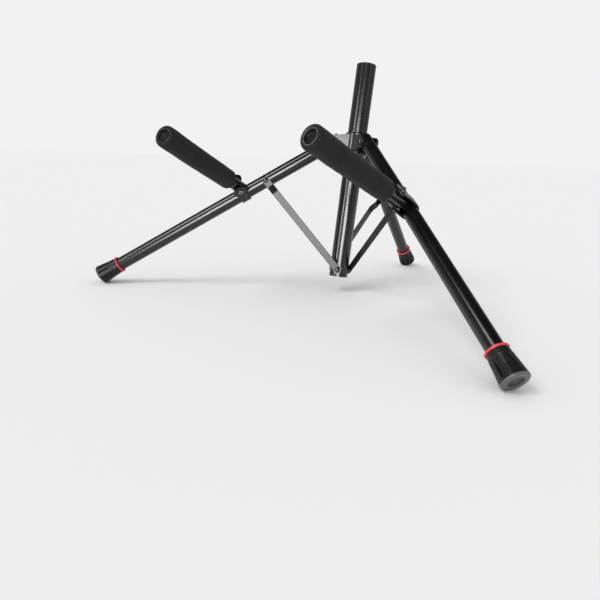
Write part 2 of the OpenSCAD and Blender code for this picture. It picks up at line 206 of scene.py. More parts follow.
class NodeSheet:
    """A node tree with short calls that place and join nodes."""

    def __init__(self, tree: bpy.types.NodeTree) -> None:
        """Keeps the tree.

        Args:
            tree: The tree to fill.
        """
        self.tree = tree

    def node(self, kind: str, **values: object) -> bpy.types.Node:
        """Adds a node and sets its properties.

        Args:
            kind: Blender's type name of the node.
            **values: Properties of the node.

        Returns:
            The new node.
        """
        made = self.tree.nodes.new(kind)
        for key, value in values.items():
            setattr(made, key, value)
        return made

    def join(self, out: Socket, into: Socket) -> None:
        """Links an output to an input."""
        self.tree.links.new(out, into)

    def feed(self, value: Feed, into: Socket) -> None:
        """Gives an input a link or a plain value.

        Args:
            value: Socket, number or colour.
            into: The input.
        """
        if isinstance(value, Socket):
            self.join(value, into)
        else:
            into.default_value = value

    def math(self, operation: str, *inputs: Feed, clamp: bool = False) -> Socket:
        """Adds a Math node.

        Args:
            operation: The node's operation.
            *inputs: Sockets or plain numbers.
            clamp: Whether the result is held between 0 and 1.

        Returns:
            The node's output.
        """
        made = self.node("ShaderNodeMath", operation=operation, use_clamp=clamp)
        for slot, value in zip(made.inputs, inputs):
            self.feed(value, slot)
        return made.outputs[0]

    def noise(self, vector: Socket, scale: Feed, detail: float = 4.0, rough: float = 0.55) -> Socket:
        """Adds a Noise Texture.

        Args:
            vector: Coordinates.
            scale: Socket or number for the scale.
            detail: Octaves.
            rough: Roughness of the octaves.

        Returns:
            The noise, from 0 to 1.
        """
        made = self.node("ShaderNodeTexNoise")
        self.join(vector, made.inputs["Vector"])
        made.inputs["Detail"].default_value = detail
        made.inputs["Roughness"].default_value = rough
        self.feed(scale, made.inputs["Scale"])
        return made.outputs["Fac"]

    def remap(
        self, value: Socket, low: float, high: float, to_low: float = 0.0, to_high: float = 1.0
    ) -> Socket:
        """Adds a smooth Map Range.

        Args:
            value: What to map.
            low: Value that becomes to_low.
            high: Value that becomes to_high.
            to_low: Result at low.
            to_high: Result at high.

        Returns:
            The mapped value.
        """
        made = self.node("ShaderNodeMapRange", interpolation_type="SMOOTHSTEP")
        self.join(value, made.inputs[0])
        for slot, number in zip(made.inputs[1:5], (low, high, to_low, to_high)):
            slot.default_value = number
        return made.outputs[0]

    def blend(self, factor: Feed, first: Feed, second: Feed) -> Socket:
        """Adds a Mix of numbers.

        Args:
            factor: Socket or number.
            first: Result at factor 0.
            second: Result at factor 1.

        Returns:
            The mixed number.
        """
        made = self.node("ShaderNodeMix", data_type="FLOAT")
        for slot, value in ((made.inputs[0], factor), (made.inputs[2], first), (made.inputs[3], second)):
            self.feed(value, slot)
        return made.outputs[0]

    def mix_colour(self, factor: Feed, first: Feed, second: Feed) -> Socket:
        """Adds a colour Mix.

        Args:
            factor: Socket or number.
            first: Socket or colour at factor 0.
            second: Socket or colour at factor 1.

        Returns:
            The mixed colour.
        """
        made = self.node("ShaderNodeMix", data_type="RGBA")
        for slot, value in ((made.inputs[0], factor), (made.inputs[6], first), (made.inputs[7], second)):
            self.feed(value, slot)
        return made.outputs[2]


class GroupSheet(NodeSheet):
    """A shader node group with named inputs and outputs."""

    def __init__(self, name: str, inputs: dict[str, Union[float, str]], outputs: dict[str, str]) -> None:
        """Makes the group and its sockets.

        Args:
            name: Name of the group.
            inputs: Input names, each with a default number or the type's name.
            outputs: Output names and their socket types.
        """
        tree = bpy.data.node_groups.new(name, "ShaderNodeTree")
        for key, value in inputs.items():
            is_number = not isinstance(value, str)
            kind = "NodeSocketFloat" if is_number else value
            made = tree.interface.new_socket(name=key, in_out="INPUT", socket_type=kind)
            if is_number:
                made.default_value = value
        for key, kind in outputs.items():
            tree.interface.new_socket(name=key, in_out="OUTPUT", socket_type=kind)
        super().__init__(tree)
        self.enter = self.node("NodeGroupInput").outputs
        self.leave = self.node("NodeGroupOutput").inputs


class Effects:
    """The shader groups that the finishes share, each built once."""

    # Turn and stretch of each direction of scratches.
    SCRATCHES = ((0.5, (1.0, 14.0, 1.0)), (-0.9, (12.0, 1.0, 1.6)))
    # Noise values between which each mark comes in.
    SCRATCH_SPAN = (0.69, 0.73)
    PATCH_SPAN = (0.5, 0.66)
    SPECK_SPAN = (0.48, 0.72)
    CLOUD_SPAN = (0.4, 0.68)
    PORE_SPAN = (0.52, 0.68)
    # Distances from a foam cell's middle at which its wall is full height and a pore is closed.
    WALL_REACH = 0.55
    PORE_REACH = (0.1, 0.4)
    # How far the noise bends the foam's cells.
    CELL_BEND = 0.0006

    def __init__(self) -> None:
        """Builds every group."""
        self.mottle = self._mottle()
        self.scuffs = self._scuffs()
        self.dust = self._dust()
        self.grain = self._grain()
        self.foam = self._foam()

    @staticmethod
    def _mottle() -> bpy.types.NodeTree:
        """Slow and fine variation over a surface, centred on 0.5.

        Returns:
            The group.
        """
        g = GroupSheet(
            "mottle",
            {"Vector": "NodeSocketVector", "Scale": 20.0, "Fine": 0.3},
            {"Value": "NodeSocketFloat"},
        )
        slow = g.noise(g.enter["Vector"], g.enter["Scale"], detail=3.0)
        fine = g.noise(g.enter["Vector"], g.math("MULTIPLY", g.enter["Scale"], 14.0), detail=5.0)
        g.join(g.blend(g.enter["Fine"], slow, fine), g.leave["Value"])
        return g.tree

    @staticmethod
    def _scuffs() -> bpy.types.NodeTree:
        """Short thin scratches in two directions, thinned out by a slow noise.

        Returns:
            The group.
        """
        g = GroupSheet(
            "scuffs",
            {"Vector": "NodeSocketVector", "Scale": 60.0, "Amount": 0.5},
            {"Mask": "NodeSocketFloat"},
        )
        marks = []
        for turn, stretch in Effects.SCRATCHES:
            mapped = g.node("ShaderNodeMapping")
            g.join(g.enter["Vector"], mapped.inputs["Vector"])
            mapped.inputs["Rotation"].default_value = (turn, turn * 0.7, turn * 1.9)
            mapped.inputs["Scale"].default_value = stretch
            fine = g.noise(mapped.outputs[0], g.enter["Scale"], detail=2.0, rough=0.4)
            marks.append(g.remap(fine, *Effects.SCRATCH_SPAN))
        both = g.math("MAXIMUM", *marks)
        patches = g.remap(g.noise(g.enter["Vector"], 18.0, detail=2.0), *Effects.PATCH_SPAN)
        sparse = g.math("MULTIPLY", both, patches)
        g.join(g.math("MULTIPLY", sparse, g.enter["Amount"], clamp=True), g.leave["Mask"])
        return g.tree

    @staticmethod
    def _dust() -> bpy.types.NodeTree:
        """Pale dust in clouds, thicker near the floor.

        Returns:
            The group.
        """
        g = GroupSheet(
            "dust",
            {"Vector": "NodeSocketVector", "Amount": 0.3, "Floor Height": 0.04},
            {"Mask": "NodeSocketFloat"},
        )
        split = g.node("ShaderNodeSeparateXYZ")
        g.join(g.enter["Vector"], split.inputs[0])
        height = g.math("DIVIDE", split.outputs[2], g.enter["Floor Height"])
        low = g.math("SUBTRACT", 1.0, height, clamp=True)
        specks = g.noise(g.enter["Vector"], 420.0, detail=6.0, rough=0.7)
        specks = g.remap(specks, *Effects.SPECK_SPAN)
        cloud = g.remap(g.noise(g.enter["Vector"], 26.0), *Effects.CLOUD_SPAN, to_low=0.1)
        veil = g.math("MULTIPLY", cloud, g.math("MULTIPLY_ADD", specks, 0.7, 0.3))
        near_floor = g.math("MULTIPLY", low, 0.8)
        both = g.math("MAXIMUM", g.math("MULTIPLY", veil, 0.35), g.math("MULTIPLY", veil, near_floor))
        g.join(g.math("MULTIPLY", both, g.enter["Amount"], clamp=True), g.leave["Mask"])
        return g.tree

    @staticmethod
    def _grain() -> bpy.types.NodeTree:
        """Even fine relief, as on moulded plastic, rubber or sprayed powder.

        Returns:
            The group.
        """
        g = GroupSheet(
            "grain",
            {"Vector": "NodeSocketVector", "Scale": 900.0, "Coarse": 0.3},
            {"Height": "NodeSocketFloat"},
        )
        fine = g.noise(g.enter["Vector"], g.enter["Scale"], detail=2.0, rough=0.5)
        slow = g.noise(g.enter["Vector"], g.math("MULTIPLY", g.enter["Scale"], 0.16), detail=3.0, rough=0.5)
        g.join(g.blend(g.enter["Coarse"], fine, slow), g.leave["Height"])
        return g.tree

    @staticmethod
    def _foam() -> bpy.types.NodeTree:
        """Cells of closed foam: a height and a mask of the open ones.

        Returns:
            The group.
        """
        g = GroupSheet(
            "foam_cells",
            {"Vector": "NodeSocketVector", "Scale": 1400.0},
            {"Height": "NodeSocketFloat", "Pores": "NodeSocketFloat"},
        )
        warp = g.node("ShaderNodeVectorMath", operation="MULTIPLY_ADD")
        bend = g.node("ShaderNodeTexNoise")
        g.join(g.enter["Vector"], bend.inputs["Vector"])
        bend.inputs["Scale"].default_value = 300.0
        g.join(bend.outputs["Color"], warp.inputs[0])
        warp.inputs[1].default_value = (Effects.CELL_BEND,) * 3
        g.join(g.enter["Vector"], warp.inputs[2])
        cells = g.node("ShaderNodeTexVoronoi", feature="F1")
        g.join(warp.outputs[0], cells.inputs["Vector"])
        g.join(g.enter["Scale"], cells.inputs["Scale"])
        walls = g.remap(cells.outputs["Distance"], 0.0, Effects.WALL_REACH)
        pick = g.remap(g.noise(g.enter["Vector"], 700.0, detail=3.0, rough=0.6), *Effects.PORE_SPAN)
        pores = g.math("MULTIPLY", pick, g.remap(walls, *Effects.PORE_REACH, 1.0, 0.0))
        skin = g.noise(g.enter["Vector"], 90.0, rough=0.6)
        relief = g.math("MULTIPLY_ADD", skin, 0.8, g.math("MULTIPLY", walls, 0.5))
        g.join(g.math("SUBTRACT", relief, g.math("MULTIPLY", pores, 0.6)), g.leave["Height"])
        g.join(pores, g.leave["Pores"])
        return g.tree


# ---- Finishes ------------------------------------------------------------------------------


# Mottle values between which the second colour and the marked faces' lighter colour (rubbing and painted
# highlight) come in.
MOTTLE_SPAN = (0.3, 0.7)
WEAR_AND_PAINTED_LIGHT_SPAN = (0.42, 0.62)
# What each effect adds to the roughness.
WEAR_AND_PAINTED_LIGHT_ROUGH = -0.1
SCUFF_ROUGH = 0.2
DUST_ROUGH = 0.35


def grey(tone: float) -> Colour:
    """A neutral colour."""
    return (tone, tone, tone, 1.0)


@dataclass(frozen=True)
class Finish:
    """A surface finish: its plain constants and how strongly each effect shows."""

    name: str
    slot: str
    colour: Colour
    second: Colour
    rough: tuple[float, float]
    metallic: float = 0.0
    specular: float = 0.5
    coat: float = 0.0
    coat_rough: float = 0.1
    sheen: float = 0.0
    mottle_scale: float = 22.0
    grain_scale: float = 900.0
    grain_coarse: float = 0.3
    bump: float = 0.1
    bump_depth: float = 0.0002
    scuff: float = 0.0
    scuff_colour: Colour = (0.2, 0.2, 0.2, 1.0)
    dust: float = 0.0
    dust_colour: Colour = (0.32, 0.31, 0.29, 1.0)
    # edge, edge_colour and edge_even lighten the faces that a piece marks: coat rubbed thin on eased edges,
    # painted highlight on pin heads and cap rims, both on the feet's ends.
    edge: float = 0.0
    edge_colour: Colour = (0.35, 0.35, 0.36, 1.0)
    edge_even: float = 0.15

    def _group(self, sheet: NodeSheet, tree: bpy.types.NodeTree, **values: float) -> bpy.types.Node:
        """Places a shared group on the object's coordinates.

        Args:
            sheet: The material's sheet.
            tree: The group.
            **values: Numbers for its inputs, with _ for a space.

        Returns:
            The group node.
        """
        made = sheet.node("ShaderNodeGroup")
        made.node_tree = tree
        where = sheet.node("ShaderNodeTexCoord")
        sheet.join(where.outputs["Object"], made.inputs["Vector"])
        for key, value in values.items():
            made.inputs[key.replace("_", " ")].default_value = value
        return made

    def height(self, sheet: NodeSheet, effects: Effects) -> Socket:
        """The relief of the surface.

        Args:
            sheet: The material's sheet.
            effects: The shared groups.

        Returns:
            A height socket.
        """
        grain = self._group(sheet, effects.grain, Scale=self.grain_scale, Coarse=self.grain_coarse)
        return grain.outputs["Height"]

    def build(self, effects: Effects) -> bpy.types.Material:
        """Makes the material.

        Args:
            effects: The shared groups.

        Returns:
            The material.
        """
        made = bpy.data.materials.new(self.name)
        made.use_nodes = True
        sheet = NodeSheet(made.node_tree)
        shader = made.node_tree.nodes["Principled BSDF"]
        shader.inputs["Metallic"].default_value = self.metallic
        shader.inputs["Specular IOR Level"].default_value = self.specular
        shader.inputs["Coat Weight"].default_value = self.coat
        shader.inputs["Coat Roughness"].default_value = self.coat_rough
        shader.inputs["Sheen Weight"].default_value = self.sheen
        mottle = self._group(sheet, effects.mottle, Scale=self.mottle_scale).outputs["Value"]
        tone = sheet.remap(mottle, *MOTTLE_SPAN)
        colour = sheet.mix_colour(tone, self.colour, self.second)
        rough = sheet.remap(mottle, *MOTTLE_SPAN, *self.rough)
        if self.edge:
            colour, rough = self._worn_edges(sheet, mottle, colour, rough)
        if self.scuff:
            mask = self._group(sheet, effects.scuffs, Amount=self.scuff).outputs["Mask"]
            colour = sheet.mix_colour(mask, colour, self.scuff_colour)
            rough = sheet.math("MULTIPLY_ADD", mask, SCUFF_ROUGH, rough)
        if self.dust:
            mask = self._group(sheet, effects.dust, Amount=self.dust).outputs["Mask"]
            colour = sheet.mix_colour(mask, colour, self.dust_colour)
            rough = sheet.math("MULTIPLY_ADD", mask, DUST_ROUGH, rough, clamp=True)
        sheet.join(colour, shader.inputs["Base Color"])
        sheet.join(rough, shader.inputs["Roughness"])
        bump = sheet.node("ShaderNodeBump")
        bump.inputs["Strength"].default_value = self.bump
        bump.inputs["Distance"].default_value = self.bump_depth
        sheet.join(self.height(sheet, effects), bump.inputs["Height"])
        sheet.join(bump.outputs["Normal"], shader.inputs["Normal"])
        return made

    def _worn_edges(
        self,
        sheet: NodeSheet,
        mottle: Socket,
        colour: Socket,
        rough: Socket,
    ) -> tuple[Socket, Socket]:
        """Lightens the faces that the piece marks: coat rubbed thin along eased edges, painted highlight on
        the pin heads and cap rims, rubbing and painted highlight on the feet's ends.

        Args:
            sheet: The material's sheet.
            mottle: Variation that breaks the wear up.
            colour: Colour so far.
            rough: Roughness so far.

        Returns:
            The new colour and roughness.
        """
        mark = sheet.node("ShaderNodeAttribute", attribute_name=EDGE_MARK)
        broken = sheet.remap(mottle, *WEAR_AND_PAINTED_LIGHT_SPAN, to_low=self.edge_even)
        worn = sheet.math("MULTIPLY", mark.outputs["Fac"], broken)
        mask = sheet.math("MULTIPLY", worn, self.edge, clamp=True)
        return (
            sheet.mix_colour(mask, colour, self.edge_colour),
            sheet.math("MULTIPLY_ADD", mask, WEAR_AND_PAINTED_LIGHT_ROUGH, rough),
        )


@dataclass(frozen=True)
class FoamFinish(Finish):
    """Matte closed-cell foam."""

    def height(self, sheet: NodeSheet, effects: Effects) -> Socket:
        """The relief of the foam's skin and cells.

        Args:
            sheet: The material's sheet.
            effects: The shared groups.

        Returns:
            A height socket.
        """
        return self._group(sheet, effects.foam, Scale=self.grain_scale).outputs["Height"]


FINISHES = (
    Finish(
        "gloss_black_coat", "powder_coat", (0.003, 0.003, 0.0033, 1.0), (0.0045, 0.0045, 0.005, 1.0),
        (0.18, 0.22), specular=0.62, grain_scale=300.0, grain_coarse=0.8, bump=0.002,
        scuff=0.15, scuff_colour=(0.02, 0.02, 0.021, 1.0), dust=0.05, edge=0.2,
    ),
    Finish(
        "satin_black_steel", "satin_steel", (0.013, 0.013, 0.0135, 1.0), (0.018, 0.018, 0.019, 1.0),
        (0.17, 0.2), specular=0.25, grain_scale=1100.0, bump=0.025, scuff=0.15,
        scuff_colour=(0.05, 0.05, 0.052, 1.0), dust=0.05, edge=0.5, edge_colour=(0.1, 0.1, 0.105, 1.0),
    ),
    # Its edge colour is the painted highlight on the arm pins' head rings.
    Finish(
        "dark_chrome", "zinc_steel", (0.07, 0.07, 0.073, 1.0), (0.1, 0.1, 0.103, 1.0), (0.16, 0.24),
        metallic=1.0, mottle_scale=160.0, grain_scale=1600.0, bump=0.05, scuff=0.3,
        scuff_colour=(0.35, 0.34, 0.33, 1.0), edge=1.0, edge_colour=(0.42, 0.42, 0.42, 1.0),
    ),
    # Its edge colour, spread evenly by edge_even, lightens the feet's ends: rubbing and painted highlight.
    Finish(
        "black_rubber", "black_rubber", (0.009, 0.009, 0.0095, 1.0), (0.014, 0.014, 0.0145, 1.0),
        (0.32, 0.4), specular=0.28, grain_scale=1300.0, bump=0.12, scuff=0.3,
        scuff_colour=(0.05, 0.05, 0.05, 1.0), dust=0.22, dust_colour=(0.1, 0.098, 0.094, 1.0),
        edge=1.0, edge_colour=(0.17, 0.17, 0.17, 1.0), edge_even=0.78,
    ),
    Finish(
        "red_rubber", "red_rubber", (0.72, 0.035, 0.06, 1.0), (0.8, 0.06, 0.08, 1.0), (0.3, 0.42),
        grain_scale=1500.0, bump=0.12, dust=0.12, dust_colour=(0.8, 0.5, 0.48, 1.0),
    ),
    # Its edge colour is the painted highlight on the arm caps' rims.
    Finish(
        "black_plastic", "black_plastic", (0.009, 0.009, 0.0095, 1.0), (0.014, 0.014, 0.0145, 1.0),
        (0.34, 0.42), specular=0.14, grain_scale=1200.0, grain_coarse=0.15, bump=0.12, dust=0.08,
        edge=0.9, edge_colour=(0.16, 0.16, 0.16, 1.0),
    ),
    FoamFinish(
        "black_foam", "foam", (0.008, 0.008, 0.0085, 1.0), (0.013, 0.013, 0.0135, 1.0), (0.78, 0.9),
        specular=0.22, sheen=0.06, mottle_scale=35.0, grain_scale=1400.0, bump=0.45,
        bump_depth=0.0003, dust=0.25, dust_colour=(0.08, 0.08, 0.077, 1.0),
    ),
    Finish(
        "natural_nylon", "nylon", (0.6, 0.59, 0.54, 1.0), (0.66, 0.65, 0.6, 1.0), (0.35, 0.45),
        bump=0.1, dust=0.1,
    ),
)


# ---- Shapes --------------------------------------------------------------------------------


def quarter(steps: int) -> Outline:
    """Cosines and sines along a quarter turn.

    Args:
        steps: Parts of the quarter turn.

    Returns:
        Cosine and sine pairs, from the end of the first part to that of the last.
    """
    angles = [math.pi / 2.0 * step / steps for step in range(1, steps + 1)]
    return [(math.cos(angle), math.sin(angle)) for angle in angles]


def turned(outline: Outline, around: int, closed: bool = False) -> bmesh.types.BMesh:
    """Spins an outline round the z axis.

    Args:
        outline: Radius and height pairs.
        around: Steps of the full turn.
        closed: Whether the outline's end joins its start.

    Returns:
        The closed mesh, with its faces outwards.
    """
    bm = bmesh.new()
    verts = [bm.verts.new((radius, 0.0, height)) for radius, height in outline]
    ends = verts[1:] + verts[:1] if closed else verts[1:]
    edges = [bm.edges.new(pair) for pair in zip(verts, ends)]
    bmesh.ops.spin(
        bm, geom=verts + edges, cent=(0.0, 0.0, 0.0), axis=(0.0, 0.0, 1.0),
        angle=math.tau, steps=around, use_merge=True,
    )
    bmesh.ops.remove_doubles(bm, verts=bm.verts, dist=MERGE)
    bmesh.ops.recalc_face_normals(bm, faces=bm.faces)
    return bm


def mark_wear(bm: bmesh.types.BMesh, wear: Callable[[Vector], float]) -> None:
    """Writes how strongly each face shows the lighter edge colour: painted highlight on pin heads and cap
    rims, rubbing and painted highlight on the feet's ends.

    Args:
        bm: The mesh.
        wear: Gives that share, from 0 to 1, at the middle of a face.
    """
    mark = bm.faces.layers.float.new(EDGE_MARK)
    for face in bm.faces:
        face[mark] = wear(face.calc_center_median())


def placed(name: str, data: bpy.types.ID) -> bpy.types.Object:
    """Makes an object and links it to the scene.

    Args:
        name: Name of the object.
        data: Its mesh, lamp or camera.

    Returns:
        The object.
    """
    made = bpy.data.objects.new(name, data)
    bpy.context.scene.collection.objects.link(made)
    return made


# ---- Pieces --------------------------------------------------------------------------------


class Workshop:
    """Makes finished objects and puts them on their bodies."""

    def __init__(self, effects: Effects) -> None:
        """Builds every material.

        Args:
            effects: The shared shader groups.
        """
        self.materials = {finish.slot: finish.build(effects) for finish in FINISHES}
        self.slots = {row["node"]: row["material_slot"] for row in frame["record"]["subparts"]}

    def finish_cad(self) -> None:
        """Gives each CAD node the material of its slot in the record."""
        for name, obj in frame["nodes"].items():
            material = self.materials[self.slots[name]]
            for slot in obj.material_slots:
                slot.material = material
            log.info("CAD node %s finished in %s", name, material.name)

    def add(self, name: str, bm: bmesh.types.BMesh, body: str, slot: str, *nodes: str) -> bpy.types.Object:
        """Turns a mesh into a piece that rides on a body.

        Args:
            name: Name of the piece.
            bm: Its mesh, in metres and in place; it is used up.
            body: Body that it moves with.
            slot: The record's material slot.
            *nodes: CAD nodes that it stands for.

        Returns:
            The new object.
        """
        mesh = bpy.data.meshes.new(name)
        for face in bm.faces:
            face.smooth = True
        for edge in bm.edges:
            if len(edge.link_faces) == 2 and edge.calc_face_angle() > CREASE_ANGLE:
                edge.smooth = False
        bm.to_mesh(mesh)
        bm.free()
        mesh.materials.append(self.materials[slot])
        piece = placed(name, mesh)
        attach(piece, body)
        if nodes:
            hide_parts(*nodes)
        log.info("piece %s on %s, %d faces", name, body, len(mesh.polygons))
        return piece


@dataclass
class EasedMetal:
    """The pressed and cut pieces, as copies of their CAD nodes with the sharp edges rounded.

    Faces still lie in an old plane where they agree with it by same_way and same_plane.
    """

    shop: Workshop
    segments: int = 2
    flat_angle: float = math.radians(0.5)
    sharp_angle: float = math.radians(30.0)
    bend_angle: float = math.radians(12.0)
    same_way: float = 0.9998
    same_plane: float = 3e-6
    flat_weight: int = 70
    widths: dict[str, float] = field(default_factory=lambda: {
        "brace": 0.00045, "arm_bracket": 0.00055, "hub_collar": 0.0006, "post_top_cap": 0.0004,
        "clamp_knob": 0.0007, "leg_plug": 0.0003,
    })

    def build(self) -> None:
        """Rounds the edges of each such node."""
        homes = {
            node: body for body, nodes in frame["record"]["behaviour"]["bodies"].items() for node in nodes
        }
        for node in sorted(frame["nodes"]):
            stem = node
            for side in ALL_SIDES:
                stem = stem.removesuffix(f"_{side.tag}")
            if stem in self.widths:
                self._eased(node, homes[node], self.widths[stem])

    def _eased(self, node: str, body: str, width: float) -> None:
        """Makes one rounded copy, which stands for its node.

        Args:
            node: The CAD node.
            body: Body that it moves with.
            width: Width of the rounding.
        """
        bm = self._merged(node)
        planes = [(face.normal.copy(), face.normal.dot(face.verts[0].co)) for face in bm.faces]
        sharp = [edge for edge in bm.edges if edge.calc_face_angle(0.0) > self.sharp_angle]
        bmesh.ops.bevel(
            bm, geom=sharp, offset=width, offset_type="OFFSET", affect="EDGES",
            segments=self.segments, profile=0.5, material=-1, clamp_overlap=True,
        )
        bm.normal_update()
        self._mark_rounding(bm, planes)
        self._keep_bends(bm)
        piece = self.shop.add(f"{node}_eased", bm, body, self.shop.slots[node], node)
        flats = piece.modifiers.new("flat faces", "WEIGHTED_NORMAL")
        flats.keep_sharp = True
        flats.weight = self.flat_weight

    def _merged(self, node: str) -> bmesh.types.BMesh:
        """A copy of a CAD node with its triangles joined into whole faces.

        Args:
            node: The CAD node.

        Returns:
            The copy.
        """
        bm = bmesh.new()
        bm.from_mesh(frame["nodes"][node].data)
        bmesh.ops.remove_doubles(bm, verts=bm.verts, dist=MERGE_CAD)
        bmesh.ops.dissolve_limit(
            bm, angle_limit=self.flat_angle, use_dissolve_boundaries=False, verts=bm.verts, edges=bm.edges
        )
        return bm

    def _mark_rounding(self, bm: bmesh.types.BMesh, planes: list[tuple[Vector, float]]) -> None:
        """Marks the faces that lie in none of the planes from before the bevel.

        Args:
            bm: The bevelled mesh.
            planes: Direction of each old face and its distance from the origin.
        """
        mark = bm.faces.layers.float.new(EDGE_MARK)
        for face in bm.faces:
            middle = face.calc_center_median()
            kept = any(
                way.dot(face.normal) > self.same_way and abs(way.dot(middle) - reach) < self.same_plane
                for way, reach in planes
            )
            face[mark] = 0.0 if kept else 1.0

    def _keep_bends(self, bm: bmesh.types.BMesh) -> None:
        """Keeps the bends between flats crisp, also across the rounding beside them.

        Args:
            bm: The mesh, with its rounding marked.
        """
        mark = bm.faces.layers.float[EDGE_MARK]
        bends = [
            edge for edge in bm.edges
            if all(face[mark] == 0.0 for face in edge.link_faces)
            and edge.calc_face_angle(0.0) > self.bend_angle
        ]
        for bend in bends:
            bend.smooth = False
            for edge in (edge for vert in bend.verts for edge in vert.link_edges):
                if all(face[mark] == 1.0 for face in edge.link_faces):
                    edge.smooth = False


@dataclass
class FoamSleeve:
    """A soft foam sleeve on an arm, with rounded ends and the small dents of a used one."""

    side: Side
    end_round: float = 0.005
    lip_round: float = 0.0024
    around: int = 72
    along: int = 44
    dent: float = 0.0005
    dent_base: float = 0.75
    slow_share: float = 0.9
    slow_scale: float = 35.0
    quick_share: float = 0.55
    quick_scale: float = 110.0
    seed_step: float = 41.0

    def profile(self, place: ArmPlace) -> Outline:
        """Outline of the sleeve's section.

        Args:
            place: The arm's place and sizes.

        Returns:
            Radius and height pairs, from the bore's start round to its end.
        """
        points = [(place.bore, place.start + self.lip_round)]
        points += [
            (place.bore + self.lip_round * (1.0 - cosine), place.start + self.lip_round * (1.0 - sine))
            for cosine, sine in quarter(3)
        ]
        points += [
            (place.radius - self.end_round * (1.0 - sine), place.start + self.end_round * (1.0 - cosine))
            for cosine, sine in quarter(6)
        ]
        top = [(radius, place.start + place.end - height) for radius, height in reversed(points)]
        span = place.end - place.start - 2.0 * self.end_round
        first = place.start + self.end_round
        side = [(place.radius, first + span * i / self.along) for i in range(1, self.along)]
        return points + side + top

    def _dent(self, bm: bmesh.types.BMesh, place: ArmPlace) -> None:
        """Presses slow shallow dents into the outside.

        Args:
            bm: The sleeve's mesh, along z.
            place: The arm's place and sizes.
        """
        shift = Vector((0.0, 0.0, self.seed_step * self.side.value))
        for vert in bm.verts:
            flat = Vector((vert.co.x, vert.co.y, 0.0))
            share = max(0.0, (flat.length - place.bore) / (place.radius - place.bore))
            slow = self.slow_share * noise.noise(vert.co * self.slow_scale + shift)
            quick = self.quick_share * noise.noise(vert.co * self.quick_scale + shift)
            push = -self.dent * (self.dent_base + slow + quick) * share
            vert.co += flat.normalized() * min(push, 0.0)

    def build(self, shop: Workshop) -> None:
        """Args:
            shop: The workshop.
        """
        tag = self.side.tag
        place = ArmPlace.measure(self.side)
        bm = turned(self.profile(place), self.around, closed=True)
        self._dent(bm, place)
        bm.transform(place.matrix)
        piece = shop.add(f"foam_skin_{tag}", bm, f"arm_{tag}", "foam", f"foam_sleeve_{tag}")
        smooth = piece.modifiers.new("smooth", "SUBSURF")
        smooth.levels = smooth.render_levels = 1


@dataclass
class ArmPin:
    """The rivet that an arm turns on, with rolled heads that have a dimple each.

    The ring of painted highlight starts at a multiple of the dimple's radius and ends at a share of the
    head's.
    """

    side: Side
    head_h: float = 0.002
    head_roll: float = 0.9
    shank_r: float = 0.003
    dimple_r: float = 0.0017
    dimple_lip: float = 1.25
    dimple_depth: float = 0.0009
    worn: tuple[float, float] = (1.1, 0.9)
    around: int = 40

    def head(self, top: float, head_r: float) -> Outline:
        """Outline of one head, from the middle of its dimple to the shank.

        Args:
            top: Distance of the head's highest ring from the middle of the pin.
            head_r: Radius of the head.

        Returns:
            Radius and height pairs.
        """
        seat = top - self.head_h
        crown = self.dimple_r * self.dimple_lip
        floor = ((0.0, 1.0), (self.dimple_r * 0.65, 0.9), (self.dimple_r, 0.35), (crown, 0.0))
        points = [(radius, top - self.dimple_depth * share) for radius, share in floor]
        points += [
            (crown + (head_r - crown) * sine, seat + self.head_h * (1.0 - self.head_roll * (1.0 - cosine)))
            for cosine, sine in quarter(6)
        ]
        return points + [(head_r, seat), (self.shank_r, seat)]

    def build(self, shop: Workshop) -> None:
        """Makes the pin in place of the plain one.

        Args:
            shop: The workshop.
        """
        tag = self.side.tag
        place = ArmPlace.measure(self.side)
        runs, spread = reaches(corners(f"arm_pin_{tag}"), place.pin, place.hinge)
        head_r = max(spread)
        upper = self.head(max(runs), head_r)
        bm = turned(upper + [(radius, -height) for radius, height in reversed(upper)], self.around)
        # Painted highlight: a ring on each head takes the finish's lighter edge colour.
        inside, outside = self.worn[0] * self.dimple_r, self.worn[1] * head_r
        mark_wear(bm, lambda middle: float(inside < math.hypot(middle.x, middle.y) < outside))
        turn = place.hinge.to_track_quat("Z", "Y").to_matrix().to_4x4()
        bm.transform(Matrix.Translation(place.pin) @ turn)
        shop.add(f"rolled_pin_{tag}", bm, f"leg_{tag}", "zinc_steel", f"arm_pin_{tag}")


